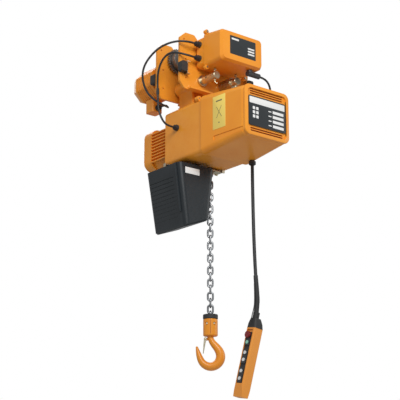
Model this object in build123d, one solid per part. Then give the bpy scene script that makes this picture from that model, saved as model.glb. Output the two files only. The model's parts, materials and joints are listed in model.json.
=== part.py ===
from build123d import *
import math
import os

# Electric chain hoist hung rigidly under a motor-driven beam trolley.
# Millimetres. X runs along the beam, -Y is the control side, +Z is up.
# The origin is the middle of the beam-flange tread level, under the trolley.

# ---- driving dimensions ----------------------------------------------------
# Trolley
PLATE_INNER, PLATE_OUTER = 84.0, 96.0
WHEEL_X, WHEEL_Z, TREAD_R = 95.0, 50.0, 50.0
TREAD_INNER, TREAD_OUTER, FLANGE_OUTER = 32.0, 62.5, 74.0
AXLE_R, WHEEL_BEARING_R = 12.5, 23.5
SHAFT_X, SHAFT_Z, SHAFT_R = (-80.0, 48.0), -100.0, 19.0
SHAFT_FRONT, SHAFT_REAR = -212.0, 135.0

# Travel drive
TRACK_MODULE, TRACK_TEETH, TRACK_PINION_TEETH = 4.0, 31, 18
DRIVE_MODULE, DRIVE_TEETH = 2.5, (12, 24, 39)
TRAVEL_MOTOR_X, TRAVEL_MOTOR_Z, TRAVEL_MOTOR_R = -110.0, -30.0, 82.0
DRIVE_GEAR_Y = (112.0, 130.0)

# Trolley control box
BOX_HALF_X = 127.0
BOX_REAR_Y, BOX_SEAM_Y, BOX_FRONT_Y = -112.0, -178.0, -306.0

# Hoist body
AXIS_Z = -352.0
BODY_X, BODY_BOTTOM, BODY_TOP = 140.0, -490.0, -215.0
BODY_FRONT, BODY_REAR, WALL = -170.0, 104.0, 8.0
BULKHEAD = 12.0
BULKHEAD_INNER = 34.0

# Hoist controller cover
COVER_SEAM_Y, COVER_FRONT_Y = -178.0, -471.0
COVER_REAR = (150.0, -498.0, -206.0)
COVER_FRONT = (131.0, -470.0, -234.0)

# Hoist gear train
MOTOR_MODULE, MOTOR_TEETH, COUNTER_TEETH = 1.5, 12, 66
FINAL_MODULE, COUNTER_PINION_TEETH, FINAL_TEETH = 2.25, 11, 41
GEAR_CENTRES = MOTOR_MODULE * (MOTOR_TEETH + COUNTER_TEETH) / 2

# Chain
WIRE, PITCH, LINK_WIDTH = 9.6, 30.0, 34.0
CHAIN_X = 48.5
SHEAVE_LINKS = 10
CHAIN_TURN = 38.6
UPPER_LINKS, LOWER_LINKS, SLACK_LINKS = 24, 5, 10

# Hook block
RING_TOP, YOKE_TOP, YOKE_BOTTOM = -1203.0, -1224.0, -1304.0
YOKE_R, RING_R, SHANK_R = 34.0, 35.0, 14.3

# Chain container
BIN_TOP, BIN_WALL = -512.0, 4.0
BIN_SEAM_Y = -34.0

# Pendant
PENDANT_TOP = (114.3, -237.9, -1293.0)
PENDANT_TILT, NECK_TILT = 12.5, 5.5
CABLE_R, PENDANT_CABLE_R = 5.0, 8.0

FACING = math.radians(CHAIN_TURN)
AWAY = (math.sin(FACING), math.cos(FACING), 0.0)
ACROSS = (math.cos(FACING), -math.sin(FACING), 0.0)

os.makedirs("parts", exist_ok=True)


# ---- helpers ---------------------------------------------------------------
def save(name, *solids):
    """Write one sub-part; several separate solids share the node."""
    shape = solids[0] if len(solids) == 1 else Compound(children=list(solids))
    export_step(shape, f"parts/{name}.step")


def front_plane(y):
    """Local x is X, local y is Z, and extrusions run towards -Y."""
    return Plane(origin=(0, y, 0), x_dir=(1, 0, 0), z_dir=(0, -1, 0))


def prism_y(sketch, y0, y1):
    return extrude(front_plane(y1) * sketch, amount=y1 - y0)


def block(x0, x1, y0, y1, z0, z1):
    centre = Pos((x0 + x1) / 2, (y0 + y1) / 2, (z0 + z1) / 2)
    return centre * Box(x1 - x0, y1 - y0, z1 - z0)


def bar_y(x, z, radius, y0, y1):
    return prism_y(Pos(x, z) * Circle(radius), y0, y1)


def ring_y(x, z, outer, inner, y0, y1):
    return bar_y(x, z, outer, y0, y1) - bar_y(x, z, inner, y0 - 1, y1 + 1)


def bar_x(y, z, radius, x0, x1):
    return Pos((x0 + x1) / 2, y, z) * Rot(0, 90, 0) * Cylinder(radius, x1 - x0)


def bar_z(x, y, radius, z0, z1):
    return Pos(x, y, (z0 + z1) / 2) * Cylinder(radius, z1 - z0)


def hex_y(x, z, across, y0, y1):
    return prism_y(Pos(x, z) * RegularPolygon(across / 2, 6, major_radius=False), y0, y1)


def screw_y(x, z, radius, head_y, length, head=-1):
    """Hexagon screw along Y whose head stands on head_y, on the head side."""
    lift = 1.3 * radius * head
    low, high = sorted((head_y, head_y + lift))
    tip_low, tip_high = sorted((head_y, head_y - length * head))
    return hex_y(x, z, 3.4 * radius, low, high) + bar_y(x, z, radius, tip_low, tip_high)


def bar_between(start, end, radius):
    path = Line(start, end)
    return sweep(Plane(origin=start, z_dir=path % 0) * Circle(radius), path=path)


def involute_gear(teeth, module, phase_deg):
    """Outline of a 25-degree involute gear; one tooth centre lies at phase_deg."""
    pressure = math.radians(25)
    pitch_r = teeth * module / 2
    base_r = pitch_r * math.cos(pressure)
    root_r = pitch_r - 1.2 * module
    tip_r = pitch_r + 0.95 * module
    half_at_pitch = 0.94 * math.pi / (2 * teeth)
    half_at_base = half_at_pitch + math.tan(pressure) - pressure
    start_r = max(base_r, root_r)
    flank = []
    for step in range(4):
        radius = start_r + (tip_r - start_r) * step / 3
        roll = math.acos(min(1.0, base_r / radius))
        flank.append((radius, half_at_base - (math.tan(roll) - roll)))
    if root_r < base_r:
        flank.insert(0, (root_r, flank[0][1]))
    points = []
    for tooth in range(teeth):
        centre = math.radians(phase_deg) + 2 * math.pi * tooth / teeth
        profile = [(r, -half) for r, half in flank] + [(r, half) for r, half in reversed(flank)]
        points += [(r * math.cos(centre + a), r * math.sin(centre + a)) for r, a in profile]
    return make_face(Polyline(*points, close=True))


def gear_y(x, z, teeth, module, phase, bore, y0, y1):
    gear = prism_y(Pos(x, z) * involute_gear(teeth, module, phase), y0, y1)
    return gear - bar_y(x, z, bore, y0 - 1, y1 + 1) if bore else gear


def mesh_phase(teeth_a, phase_a, teeth_b, direction):
    """Phase of gear B that meshes with gear A, when B lies along direction (degrees)."""
    along = (direction - phase_a) * teeth_a / 360 % 1
    return direction + 180 - (0.5 - along) * 360 / teeth_b


def direction_deg(start, end):
    return math.degrees(math.atan2(end[1] - start[1], end[0] - start[0]))


def meeting_point(a, radius_a, b, radius_b):
    """The point above the line a-b at the given distances from a and b."""
    gap = math.dist(a, b)
    along = (gap ** 2 + radius_a ** 2 - radius_b ** 2) / (2 * gap)
    rise = math.sqrt(radius_a ** 2 - along ** 2)
    ux, uz = (b[0] - a[0]) / gap, (b[1] - a[1]) / gap
    return a[0] + along * ux - rise * uz, a[1] + along * uz + rise * ux


def cord(points, radius):
    """A round cord along straight runs joined by tangent arcs."""
    vectors = [Vector(*p) for p in points]
    radii = []
    for before, here, after in zip(vectors, vectors[1:], vectors[2:]):
        turn = math.radians((here - before).get_angle(after - here))
        shorter = min((here - before).length, (after - here).length)
        radii.append(0.45 * shorter / math.tan(turn / 2))
    path = FilletPolyline(*points, radius=radii)
    print("cord length", round(path.length), "radii", [round(r) for r in radii])
    tube = sweep(Plane(origin=points[0], z_dir=path % 0) * Circle(radius), path=path)
    print("  volume ratio", round(tube.volume / (math.pi * radius ** 2 * path.length), 4))
    return tube


def rounded_loft(sections):
    """Loft through rounded rectangles: (y, half_x, z0, z1, corner)."""
    faces = []
    for y, half_x, z0, z1, corner in sections:
        shape = Pos(0, (z0 + z1) / 2) * RectangleRounded(2 * half_x, z1 - z0, corner)
        faces.append(front_plane(y) * shape)
    return loft(faces, ruled=True)


# ---- trolley ---------------------------------------------------------------
SIDE_OUTLINE = [
    (213, -125), (213, 98), (180, 128), (125, 128), (100, 100), (-100, 100),
    (-125, 128), (-180, 128), (-213, 98), (-213, -125), (-185, -158), (185, -158),
]
MOTOR_CENTRE = (TRAVEL_MOTOR_X, TRAVEL_MOTOR_Z)
WHEEL_GEAR_R = TRACK_MODULE * TRACK_TEETH / 2
PINION_CENTRE = (0.0, WHEEL_Z - math.sqrt(
    (WHEEL_GEAR_R + TRACK_MODULE * TRACK_PINION_TEETH / 2) ** 2 - WHEEL_X ** 2))
SMALL_HOLES = [(188, 93), (177, -8), (176, -103)]


def side_plate(side):
    """Lobed plate with a stiffening lip along its lower edge; side is -1 or +1."""
    outline = fillet(Polygon(*SIDE_OUTLINE, align=None).vertices(), 14)
    low, high = sorted((side * PLATE_INNER, side * PLATE_OUTER))
    plate = prism_y(outline, low, high)
    lip_low, lip_high = sorted((side * PLATE_OUTER, side * (PLATE_OUTER + 22)))
    lip_reach = 165 if side < 0 else 60
    plate += block(-lip_reach, lip_reach, lip_low, lip_high, -158, -150)
    holes = [(x, WHEEL_Z, AXLE_R) for x in (-WHEEL_X, WHEEL_X)]
    holes += [(x, SHAFT_Z, SHAFT_R + 0.3) for x in SHAFT_X]
    holes += [(sx * x, z, 4.5) for x, z in SMALL_HOLES for sx in (-1, 1)]
    if side > 0:
        holes.append((*PINION_CENTRE, 17.5))
    for x, z, radius in holes:
        plate -= bar_y(x, z, radius, low - 30, high + 30)
    return plate


FRONT_PIN_Y, REAR_PIN_Y = SHAFT_FRONT + 16, SHAFT_REAR - 12


def suspension_shafts():
    shafts = []
    for x in SHAFT_X:
        shaft = bar_y(x, SHAFT_Z, SHAFT_R, SHAFT_FRONT, SHAFT_REAR)
        shaft = chamfer(shaft.edges().filter_by(GeomType.CIRCLE), 2)
        shaft -= bar_z(x, FRONT_PIN_Y, 3.4, SHAFT_Z - 30, SHAFT_Z + 30)
        shaft -= bar_x(REAR_PIN_Y, SHAFT_Z, 3.4, x - 30, x + 30)
        shaft -= bar_x(-152, SHAFT_Z, 4.5, x - 30, x + 30)
        shafts.append(shaft)
    return shafts


def split_pins():
    """Two-leg split pins through the shaft ends: upright in front, level behind."""
    pin = bar_z(0, 0, 3.2, -34, 26) + Pos(0, 0, 31) * Rot(0, 90, 0) * Torus(6, 2.4)
    pin += bar_between((0, 0, -32), (9, -6, -40), 2.4)
    pins = []
    for x in SHAFT_X:
        pins.append(Pos(x, FRONT_PIN_Y, SHAFT_Z) * pin)
        pins.append(Pos(x, REAR_PIN_Y, SHAFT_Z) * Rot(0, -90, 0) * pin)
    return pins


def adjusting_washers():
    """Spacing washers: a full spare stack on the right shaft, a few elsewhere."""
    washers = []
    stacks = [
        (SHAFT_X[1], -178.0, 13), (SHAFT_X[0], -108.0, 2),
        (SHAFT_X[0], 98.0, 3), (SHAFT_X[1], 98.0, 3),
        (SHAFT_X[0], 70.5, 2), (SHAFT_X[1], 70.5, 2),
        (SHAFT_X[0], -83.0, 2), (SHAFT_X[1], -83.0, 2),
    ]
    for x, start, count in stacks:
        for index in range(count):
            y = start + 6.2 * index
            washers.append(ring_y(x, SHAFT_Z, 27, SHAFT_R + 0.3, y, y + 4.6))
    return washers


def suspender():
    """Cast hanger: a boss round each shaft, a web, and a foot on the hoist body."""
    body = block(-100, 68, -20, 20, -204, SHAFT_Z)
    for x in SHAFT_X:
        body += bar_y(x, SHAFT_Z, 36, -69, 69)
    body += block(-104, 72, -58, 58, -215, -199)
    for x in (-96, 64):
        body += block(x - 6, x + 6, -50, 50, -204, SHAFT_Z - 20)
    for x in SHAFT_X:
        body -= bar_y(x, SHAFT_Z, SHAFT_R + 0.3, -80, 80)
    for x, y in FOOT_BOLTS:
        body -= bar_z(x, y, 6.6, -216, -190)
    return body


FOOT_BOLTS = [(x, y) for x in (-60, 28) for y in (-42, 42)]


def foot_bolts():
    bolts = []
    for x, y in FOOT_BOLTS:
        head = Pos(x, y, -199) * extrude(RegularPolygon(10, 6, major_radius=False), amount=9)
        bolts.append(head + bar_z(x, y, 6.5, -226, -199))
    return bolts


def wheel_axle(x, side):
    """Shouldered stud set flush in the plate, with a retaining head inside."""
    parts = [
        (AXLE_R, 36, PLATE_OUTER), (17.0, 34, 37.5), (17.0, 76, PLATE_INNER),
    ]
    axle = None
    for radius, near, far in parts:
        low, high = sorted((side * near, side * far))
        piece = bar_y(x, WHEEL_Z, radius, low, high)
        axle = piece if axle is None else axle + piece
    return axle


def wheel_bearing(x, side):
    low, high = sorted((side * 38, side * 72))
    return ring_y(x, WHEEL_Z, WHEEL_BEARING_R, AXLE_R + 0.02, low, high)


def track_wheel(x, side, geared_phase=None):
    low, high = sorted((side * TREAD_INNER, side * TREAD_OUTER))
    wheel = bar_y(x, WHEEL_Z, TREAD_R, low, high)
    wheel = chamfer(wheel.edges().filter_by(GeomType.CIRCLE), 1.5)
    low, high = sorted((side * TREAD_OUTER, side * FLANGE_OUTER))
    if geared_phase is None:
        wheel += bar_y(x, WHEEL_Z, WHEEL_GEAR_R, low, high)
    else:
        wheel += gear_y(x, WHEEL_Z, TRACK_TEETH, TRACK_MODULE, geared_phase, 0, low, high)
    wheel -= bar_y(x, WHEEL_Z, WHEEL_BEARING_R + 0.06, *sorted((side * 38, side * 80)))
    return wheel - bar_y(x, WHEEL_Z, 18.5, *sorted((side * 20, side * 60)))


def bumpers():
    """Rubber end stops on the four outer corners of the plates."""
    blocks = []
    for side in (-1, 1):
        for sx in (-1, 1):
            low, high = sorted((side * 96.2, side * 126))
            x0, x1 = sorted((sx * 188, sx * 224))
            rubber = block(x0, x1, low, high, -84, -34)
            blocks.append(fillet(rubber.edges().filter_by(Axis.Y), 8))
    return blocks


def bumper_brackets():
    """Bent steel straps that hold the end stops against the plates."""
    straps = []
    for side in (-1, 1):
        for sx in (-1, 1):
            low, high = sorted((side * 96, side * 122))
            x0, x1 = sorted((sx * 170, sx * 187.8))
            strap = block(x0, x1, low, high, -92, -26)
            inner = sorted((sx * 165, sx * 184))
            strap -= block(*inner, low - 1, high + 1, -88, -30)
            straps.append(strap)
    return straps


# ---- travel drive ----------------------------------------------------------
TRAVEL_RADII = [DRIVE_MODULE * teeth / 2 for teeth in DRIVE_TEETH]
IDLER_CENTRE = meeting_point(
    MOTOR_CENTRE, TRAVEL_RADII[0] + TRAVEL_RADII[1],
    PINION_CENTRE, TRAVEL_RADII[1] + TRAVEL_RADII[2])


def travel_gearcase():
    def outline(motor_r, pinion_r):
        return make_hull([
            *(Pos(*MOTOR_CENTRE) * Circle(motor_r)).edges(),
            *(Pos(*PINION_CENTRE) * Circle(pinion_r)).edges()])
    case = prism_y(outline(46, 62), PLATE_OUTER, 150)
    case -= prism_y(outline(40, 56), PLATE_OUTER + 6, 151)
    case -= bar_y(*PINION_CENTRE, 17.5, 90, 110)
    return case - bar_y(*IDLER_CENTRE, 8.06, 90, 110), prism_y(outline(46, 62), 150, 158)


def travel_drive():
    """Travel rotor, idler and drive shaft, in mesh from the motor to the wheels."""
    to_idler = direction_deg(MOTOR_CENTRE, IDLER_CENTRE)
    to_final = direction_deg(IDLER_CENTRE, PINION_CENTRE)
    idler_phase = mesh_phase(DRIVE_TEETH[0], 0, DRIVE_TEETH[1], to_idler)
    final_phase = mesh_phase(DRIVE_TEETH[1], idler_phase, DRIVE_TEETH[2], to_final)
    rotor = bar_y(*MOTOR_CENTRE, 9, 130, 318) + bar_y(*MOTOR_CENTRE, 44.0, 190, 268)
    rotor += bar_y(*MOTOR_CENTRE, 7, 108, 131)
    rotor += gear_y(*MOTOR_CENTRE, DRIVE_TEETH[0], DRIVE_MODULE, 0, 0, *DRIVE_GEAR_Y)
    idler = gear_y(*IDLER_CENTRE, DRIVE_TEETH[1], DRIVE_MODULE, idler_phase, 0, *DRIVE_GEAR_Y)
    idler += bar_y(*IDLER_CENTRE, 8, 97, 150)
    drive = bar_y(*PINION_CENTRE, 11, 64, 149)
    drive += gear_y(*PINION_CENTRE, DRIVE_TEETH[2], DRIVE_MODULE, final_phase, 0, *DRIVE_GEAR_Y)
    drive += gear_y(*PINION_CENTRE, TRACK_PINION_TEETH, TRACK_MODULE, 90, 0, 64, FLANGE_OUTER)
    return rotor, idler, drive


def travel_motor():
    """Octagonal finned housing, its end cover and its terminal box."""
    octagon = Pos(*MOTOR_CENTRE) * Rot(0, 0, 22.5) * RegularPolygon(
        TRAVEL_MOTOR_R, 8, major_radius=False)
    housing = prism_y(octagon, 158, 292)
    housing = fillet(housing.edges().filter_by(Axis.Y), 12)
    for y in range(176, 280, 14):
        housing -= ring_y(*MOTOR_CENTRE, 120, TRAVEL_MOTOR_R - 1.5, y, y + 5)
    housing -= bar_y(*MOTOR_CENTRE, 68, 166, 293)
    housing -= bar_y(*MOTOR_CENTRE, 20, 157, 170)
    narrow = Pos(*MOTOR_CENTRE) * Rot(0, 0, 22.5) * RegularPolygon(
        TRAVEL_MOTOR_R - 16, 8, major_radius=False)
    cover = loft([front_plane(292) * octagon, front_plane(328) * narrow], ruled=True)
    cover -= bar_y(*MOTOR_CENTRE, 55, 291, 312)
    cover -= bar_y(*MOTOR_CENTRE, 9.06, 300, 319)
    box = block(-150, -90, 204, 264, -178, TRAVEL_MOTOR_Z - TRAVEL_MOTOR_R)
    return housing, cover, fillet(box.edges().filter_by(Axis.Z), 8)


# ---- trolley control box ---------------------------------------------------
EAR_SPOTS = [(sx * 116, z) for sx in (-1, 1) for z in (112, -58)]
BOX_REAR = (BOX_HALF_X - 1, -58.0, 112.0)


def trolley_box_base():
    base = rounded_loft([(BOX_REAR_Y, 122, -48, 104, 18), (BOX_SEAM_Y, 122, -48, 104, 18)])
    base += prism_y(Pos(0, 27) * RectangleRounded(252, 174, 18), BOX_SEAM_Y, BOX_SEAM_Y + 8)
    for x, z in EAR_SPOTS:
        base += bar_y(x * 1.02, z * 1.06, 11, BOX_SEAM_Y, BOX_SEAM_Y + 8)
    base -= prism_y(Pos(0, 28) * RectangleRounded(236, 144, 12), BOX_SEAM_Y - 1, BOX_REAR_Y - 6)
    for x in (-105, 105):
        for z in (-30, 88):
            base += bar_y(x, z, 9, BOX_REAR_Y, -PLATE_OUTER)
    for z in LEFT_GLANDS_Z:
        base -= bar_x(GLAND_Y, z, 9, -130, -110)
    return base - bar_x(GLAND_Y, SUPPLY_Z, 8, 100, 140)


GLAND_Y, LEFT_GLANDS_Z, SUPPLY_Z = -134.0, (66.0, -5.0), 30.0


def trolley_box_cover():
    outer = rounded_loft([
        (BOX_SEAM_Y, BOX_HALF_X - 1, -60, 114, 20), (-290, BOX_HALF_X, -58, 99, 22),
        (BOX_FRONT_Y, BOX_HALF_X - 9, -50, 90, 18)])
    inner = rounded_loft([
        (BOX_SEAM_Y + 1, BOX_HALF_X - 5, -56, 110, 16), (-290, BOX_HALF_X - 4, -54, 95, 18),
        (BOX_FRONT_Y + 4, BOX_HALF_X - 12, -46, 86, 14)])
    cover = outer - inner
    for x, z in EAR_SPOTS:
        cover += bar_y(x * 1.02, z * 1.06, 11, BOX_SEAM_Y - 7, BOX_SEAM_Y) - inner
        cover -= bar_y(x * 1.02, z * 1.06, 3, BOX_SEAM_Y - 8, BOX_SEAM_Y + 1)
    return cover


def trolley_cover_screws():
    return [screw_y(x * 1.02, z * 1.06, 3, BOX_SEAM_Y - 7, 6.8) for x, z in EAR_SPOTS]


def trolley_electrics():
    """Contactors and a terminal strip on the back of the trolley control box."""
    units = []
    for x in (-70, -22):
        unit = block(x - 20, x + 20, -182, -118.5, -20, 62)
        units.append(unit + block(x - 14, x + 14, -192, -182, -8, 50))
    strip = block(24, 104, -150, -118.5, -34, -12)
    for index in range(7):
        x = 30 + 11 * index
        strip += block(x, x + 8, -158, -150, -32, -14)
    return [*units, strip]


def trolley_data_plate():
    """Blank data plate on the front of the trolley control box."""
    plate = Pos(3, 22) * RectangleRounded(158, 92, 4)
    return prism_y(plate, BOX_FRONT_Y - 1.2, BOX_FRONT_Y)


# ---- hoist body ------------------------------------------------------------
def body_outline(inset):
    width = 2 * (BODY_X - inset)
    height = BODY_TOP - BODY_BOTTOM - 2 * inset
    centre = (BODY_TOP + BODY_BOTTOM) / 2
    return Pos(0, centre) * RectangleRounded(width, height, 24 - inset)


COUNTER_Z = AXIS_Z - GEAR_CENTRES


def hoist_body():
    """Cast middle case: gear room in front, chain room, brake room behind."""
    body = prism_y(body_outline(0), BODY_FRONT, BODY_REAR)
    rear_bulkhead = BULKHEAD_INNER + BULKHEAD
    for y0, y1 in ((BODY_FRONT - 1, -rear_bulkhead), (-BULKHEAD_INNER, BULKHEAD_INNER),
                   (rear_bulkhead, BODY_REAR + 1)):
        body -= prism_y(body_outline(WALL), y0, y1)
    body -= bar_y(0, AXIS_Z, 34, -60, 60)
    body -= bar_y(0, COUNTER_Z, 16, -60, -BULKHEAD_INNER - 2)
    for x in (-CHAIN_X, CHAIN_X):
        body -= block(x - 24, x + 24, -24, 24, BODY_BOTTOM - 1, BODY_BOTTOM + WALL + 1)
    for x, y in FOOT_BOLTS:
        body -= bar_z(x, y, 6.5, BODY_TOP - 12, BODY_TOP + 1)
    for y, z in LEFT_BODY_GLANDS:
        body -= bar_x(y, z, 9, -BODY_X - 1, -BODY_X + 12)
    body -= bar_x(*RIGHT_BODY_GLAND, 9, BODY_X - 12, BODY_X + 1)
    for x in (-LUG_X, LUG_X):
        lug = bar_y(x, LUG_Z, 12, -150, -128)
        body += lug - prism_y(body_outline(WALL), -160, -120)
        body -= bar_y(x, LUG_Z, 4, -151, -120)
    return body


LUG_X, LUG_Z = 137.0, BODY_TOP
LEFT_BODY_GLANDS = [(16.0, -318.0)]
RIGHT_BODY_GLAND = (-128.0, -306.0)


def gear_cover():
    """Front plate of the gear room, with two bearing bosses on its inner face."""
    plate = prism_y(Pos(0, -352) * RectangleRounded(296, 288, 26), COVER_SEAM_Y, BODY_FRONT)
    for z in (AXIS_Z, COUNTER_Z):
        plate += bar_y(0, z, 22, BODY_FRONT, -156)
        plate -= bar_y(0, z, 16, -168, -150)
    return plate


def hoist_gears():
    """Counter shaft with its gear and pinion, and the wheel's gear, all in mesh."""
    counter_phase = mesh_phase(MOTOR_TEETH, 0, COUNTER_TEETH, -90)
    final_phase = mesh_phase(COUNTER_PINION_TEETH, 0, FINAL_TEETH, 90)
    counter = gear_y(0, COUNTER_Z, COUNTER_TEETH, MOTOR_MODULE, counter_phase, 0, -149, -133)
    for index in range(6):
        angle = math.radians(60 * index)
        hole = (33 * math.cos(angle), COUNTER_Z + 33 * math.sin(angle))
        counter -= bar_y(*hole, 9, -160, -120)
    counter += bar_y(0, COUNTER_Z, 7.5, -167, -37)
    counter += gear_y(0, COUNTER_Z, COUNTER_PINION_TEETH, FINAL_MODULE, 0, 0, -124, -98)
    wheel_gear = gear_y(0, AXIS_Z, FINAL_TEETH, FINAL_MODULE, final_phase, 14, -120, -100)
    return counter, wheel_gear


def load_sheave():
    """Five-pocket chain wheel on a hollow hub; the motor shaft runs through it."""
    wheel = bar_y(0, AXIS_Z, 58, -22, 22)
    wheel -= ring_y(0, AXIS_Z, 70, 28, -6.5, 6.5)
    for index in range(SHEAVE_LINKS // 2):
        angle = 54 + 72 * index
        pocket = Rot(0, -angle, 0) * block(38, 80, -18, 18, -27, 27)
        wheel -= Pos(0, 0, AXIS_Z) * pocket
    return wheel + bar_y(0, AXIS_Z, 20, -124, 48) - bar_y(0, AXIS_Z, 14, -130, 60)


def bearings():
    """Ball bearings of the sheave, counter shaft and both motor shaft ends."""
    return [
        ring_y(0, AXIS_Z, 34, 20.04, -46, -34), ring_y(0, AXIS_Z, 34, 20.04, 34, 46),
        ring_y(0, COUNTER_Z, 16, 7.54, -46, -36), ring_y(0, COUNTER_Z, 16, 7.54, -168, -158),
        ring_y(0, AXIS_Z, 16, 5.54, -168, -158), ring_y(0, AXIS_Z, 23.5, 10.04, 104, 116),
        ring_y(0, AXIS_Z, 20, 8.54, 266, 276),
    ]


def chain_guide():
    """Steel guide under the chain wheel, with one channel for each strand."""
    guide = block(-84, 84, -33, 33, BODY_BOTTOM + WALL, -424)
    for x in (-CHAIN_X, CHAIN_X):
        guide -= block(x - 21, x + 21, -21, 21, BODY_BOTTOM, -420)
    return guide


# ---- hoist motor -----------------------------------------------------------
def motor_shell(y0, y1, half_x, half_z, corner):
    return prism_y(Pos(0, AXIS_Z) * RectangleRounded(2 * half_x, 2 * half_z, corner), y0, y1)


def motor_housing():
    """Flanged barrel with ten cooling fins on each side and an end wall."""
    body = prism_y(body_outline(0), BODY_REAR, BODY_REAR + 8)
    body += motor_shell(BODY_REAR + 8, 276, 100, 102, 44)
    for side in (-1, 1):
        for index in range(10):
            z = AXIS_Z - 72 + 16 * index
            x0, x1 = sorted((side * 96, side * 114))
            body += block(x0, x1, 122, 262, z - 2.5, z + 2.5)
    body += motor_shell(262, 276, 114, 104, 44)
    body -= bar_y(0, AXIS_Z, 86, 128, 266)
    body -= bar_y(0, AXIS_Z, 23.5, BODY_REAR - 1, 116)
    body -= bar_y(0, AXIS_Z, 13, 110, 130)
    return body - bar_y(0, AXIS_Z, 20, 260, 277)


def motor_end_cover():
    """Fan cowl with a grille of round air holes in its face."""
    outer = rounded_cowl(114, 104, 44, 346, 352)
    cowl = outer - rounded_cowl(110, 100, 40, 342, 348)
    for ring, count in ((22, 6), (44, 12), (66, 18)):
        for index in range(count):
            angle = 2 * math.pi * index / count
            spot = (ring * math.cos(angle), AXIS_Z + ring * math.sin(angle))
            cowl -= bar_y(*spot, 5, 330, 360)
    return cowl


def rounded_cowl(half_x, half_z, corner, shoulder_y, end_y):
    face = Pos(0, AXIS_Z) * RectangleRounded(2 * half_x, 2 * half_z, corner)
    small = Pos(0, AXIS_Z) * RectangleRounded(2 * half_x - 44, 2 * half_z - 44, corner - 14)
    straight = extrude(front_plane(shoulder_y - 26) * face, amount=shoulder_y - 26 - 276)
    taper = loft([front_plane(shoulder_y - 26) * face, front_plane(end_y) * small], ruled=True)
    return straight + taper


def motor_rotor():
    """Motor shaft with its cage, its front pinion and the brake disc."""
    shaft = bar_y(0, AXIS_Z, 10, -128, 262) + bar_y(0, AXIS_Z, 54, 146, 250)
    shaft += bar_y(0, AXIS_Z, 5.5, -167, -127) + bar_y(0, AXIS_Z, 8.5, 261, 302)
    shaft += bar_y(0, AXIS_Z, 65, 58, 66) + bar_y(0, AXIS_Z, 20, 54, 70)
    return shaft + gear_y(0, AXIS_Z, MOTOR_TEETH, MOTOR_MODULE, 0, 0, -150, -132)


def stators():
    """Windings of the hoist motor and the travel motor, and the brake coil."""
    coil = ring_y(0, AXIS_Z, 76, 30, 74, 100) - ring_y(0, AXIS_Z, 66, 42, 70, 78)
    return [ring_y(0, AXIS_Z, 85.9, 55.5, 140, 256),
            ring_y(*MOTOR_CENTRE, 67.9, 45.5, 186, 272), coil]


def cooling_fan():
    fan = bar_y(0, AXIS_Z, 22, 284, 304)
    for index in range(8):
        blade = block(18, 76, 286, 302, -2, 2)
        fan += Pos(0, 0, AXIS_Z) * Rot(0, 45 * index, 0) * blade
    return fan - bar_y(0, AXIS_Z, 8.5, 280, 310)


# ---- hoist controller ------------------------------------------------------
def cover_sections(inset, rear_y, front_y):
    rear_x, rear_z0, rear_z1 = COVER_REAR
    front_x, front_z0, front_z1 = COVER_FRONT
    shoulder_y = -446 + inset
    share = (shoulder_y - COVER_SEAM_Y) / (COVER_FRONT_Y - COVER_SEAM_Y)
    shoulder = [r + (f - r) * share for r, f in zip(COVER_REAR, COVER_FRONT)]
    return [
        (rear_y, rear_x - inset, rear_z0 + inset, rear_z1 - inset, 30 - inset),
        (shoulder_y, shoulder[0] - inset, shoulder[1] + inset, shoulder[2] - inset, 28 - inset),
        (front_y, front_x - inset - 5, front_z0 + inset + 5, front_z1 - inset - 5, 26 - inset),
    ]


def controller_cover():
    """Tapered cover: recessed front panel with louvres, and a long slot in each side."""
    cover = rounded_loft(cover_sections(0, COVER_SEAM_Y, COVER_FRONT_Y))
    cover -= rounded_loft(cover_sections(5, COVER_SEAM_Y + 1, COVER_FRONT_Y + 16))
    centre = (COVER_FRONT[1] + COVER_FRONT[2]) / 2
    panel = Pos(0, centre) * RectangleRounded(232, 208, 20)
    cover -= prism_y(panel, COVER_FRONT_Y - 1, COVER_FRONT_Y + 5)
    for z in LOUVRE_Z:
        slot = Pos(0, z) * SlotOverall(196, 7)
        cover -= prism_y(slot, COVER_FRONT_Y, COVER_FRONT_Y + 12)
    groove_floor = rounded_loft(cover_sections(3.2, COVER_SEAM_Y + 1, COVER_FRONT_Y + 3))
    for side in (-1, 1):
        x0, x1 = sorted((side * 120, side * 160))
        cover -= block(x0, x1, -452, -262, -455, -434) - groove_floor
    return cover - bar_z(PENDANT_EXIT[0], PENDANT_EXIT[1], 12.2, -500, -470)


LOUVRE_Z = [-272, -261, -250, -438, -449]
PENDANT_EXIT = (118.0, -230.0, -516.0)


def cover_screws():
    return [screw_y(x, LUG_Z, 4, -128, 21, head=1) for x in (-LUG_X, LUG_X)]


def hoist_electrics():
    """Main contactors and control transformer on the gear cover."""
    units = []
    for x in (-70, -10):
        unit = block(x - 26, x + 26, -250, COVER_SEAM_Y, -400, -290)
        units.append(unit + block(x - 18, x + 18, -264, -250, -384, -306))
    transformer = block(34, 104, -240, COVER_SEAM_Y, -370, -290)
    transformer += block(46, 92, -252, -240, -358, -302)
    return [*units, transformer]


def name_plate():
    """Dark name plate, standing in the recessed front panel."""
    plate = Pos(0, -355) * RectangleRounded(224, 142, 10)
    return prism_y(plate, COVER_FRONT_Y + 2, COVER_FRONT_Y + 5)


# ---- chain -----------------------------------------------------------------
def chain_link():
    """One welded link: long axis along Z, width along X, centred on the origin."""
    inner_r = (LINK_WIDTH - 10) / 2
    straight = PITCH + 10 - 2 * inner_r
    sides = [
        Line((inner_r, -straight / 2), (inner_r, straight / 2)),
        RadiusArc((inner_r, straight / 2), (-inner_r, straight / 2), -inner_r),
        Line((-inner_r, straight / 2), (-inner_r, -straight / 2)),
        RadiusArc((-inner_r, -straight / 2), (inner_r, -straight / 2), -inner_r),
    ]
    flat = Wire(sides)
    ring = sweep(Plane(origin=(inner_r, 0, 0), z_dir=(0, 1, 0)) * Circle(WIRE / 2), path=flat)
    return Rot(90, 0, 0) * ring


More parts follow.
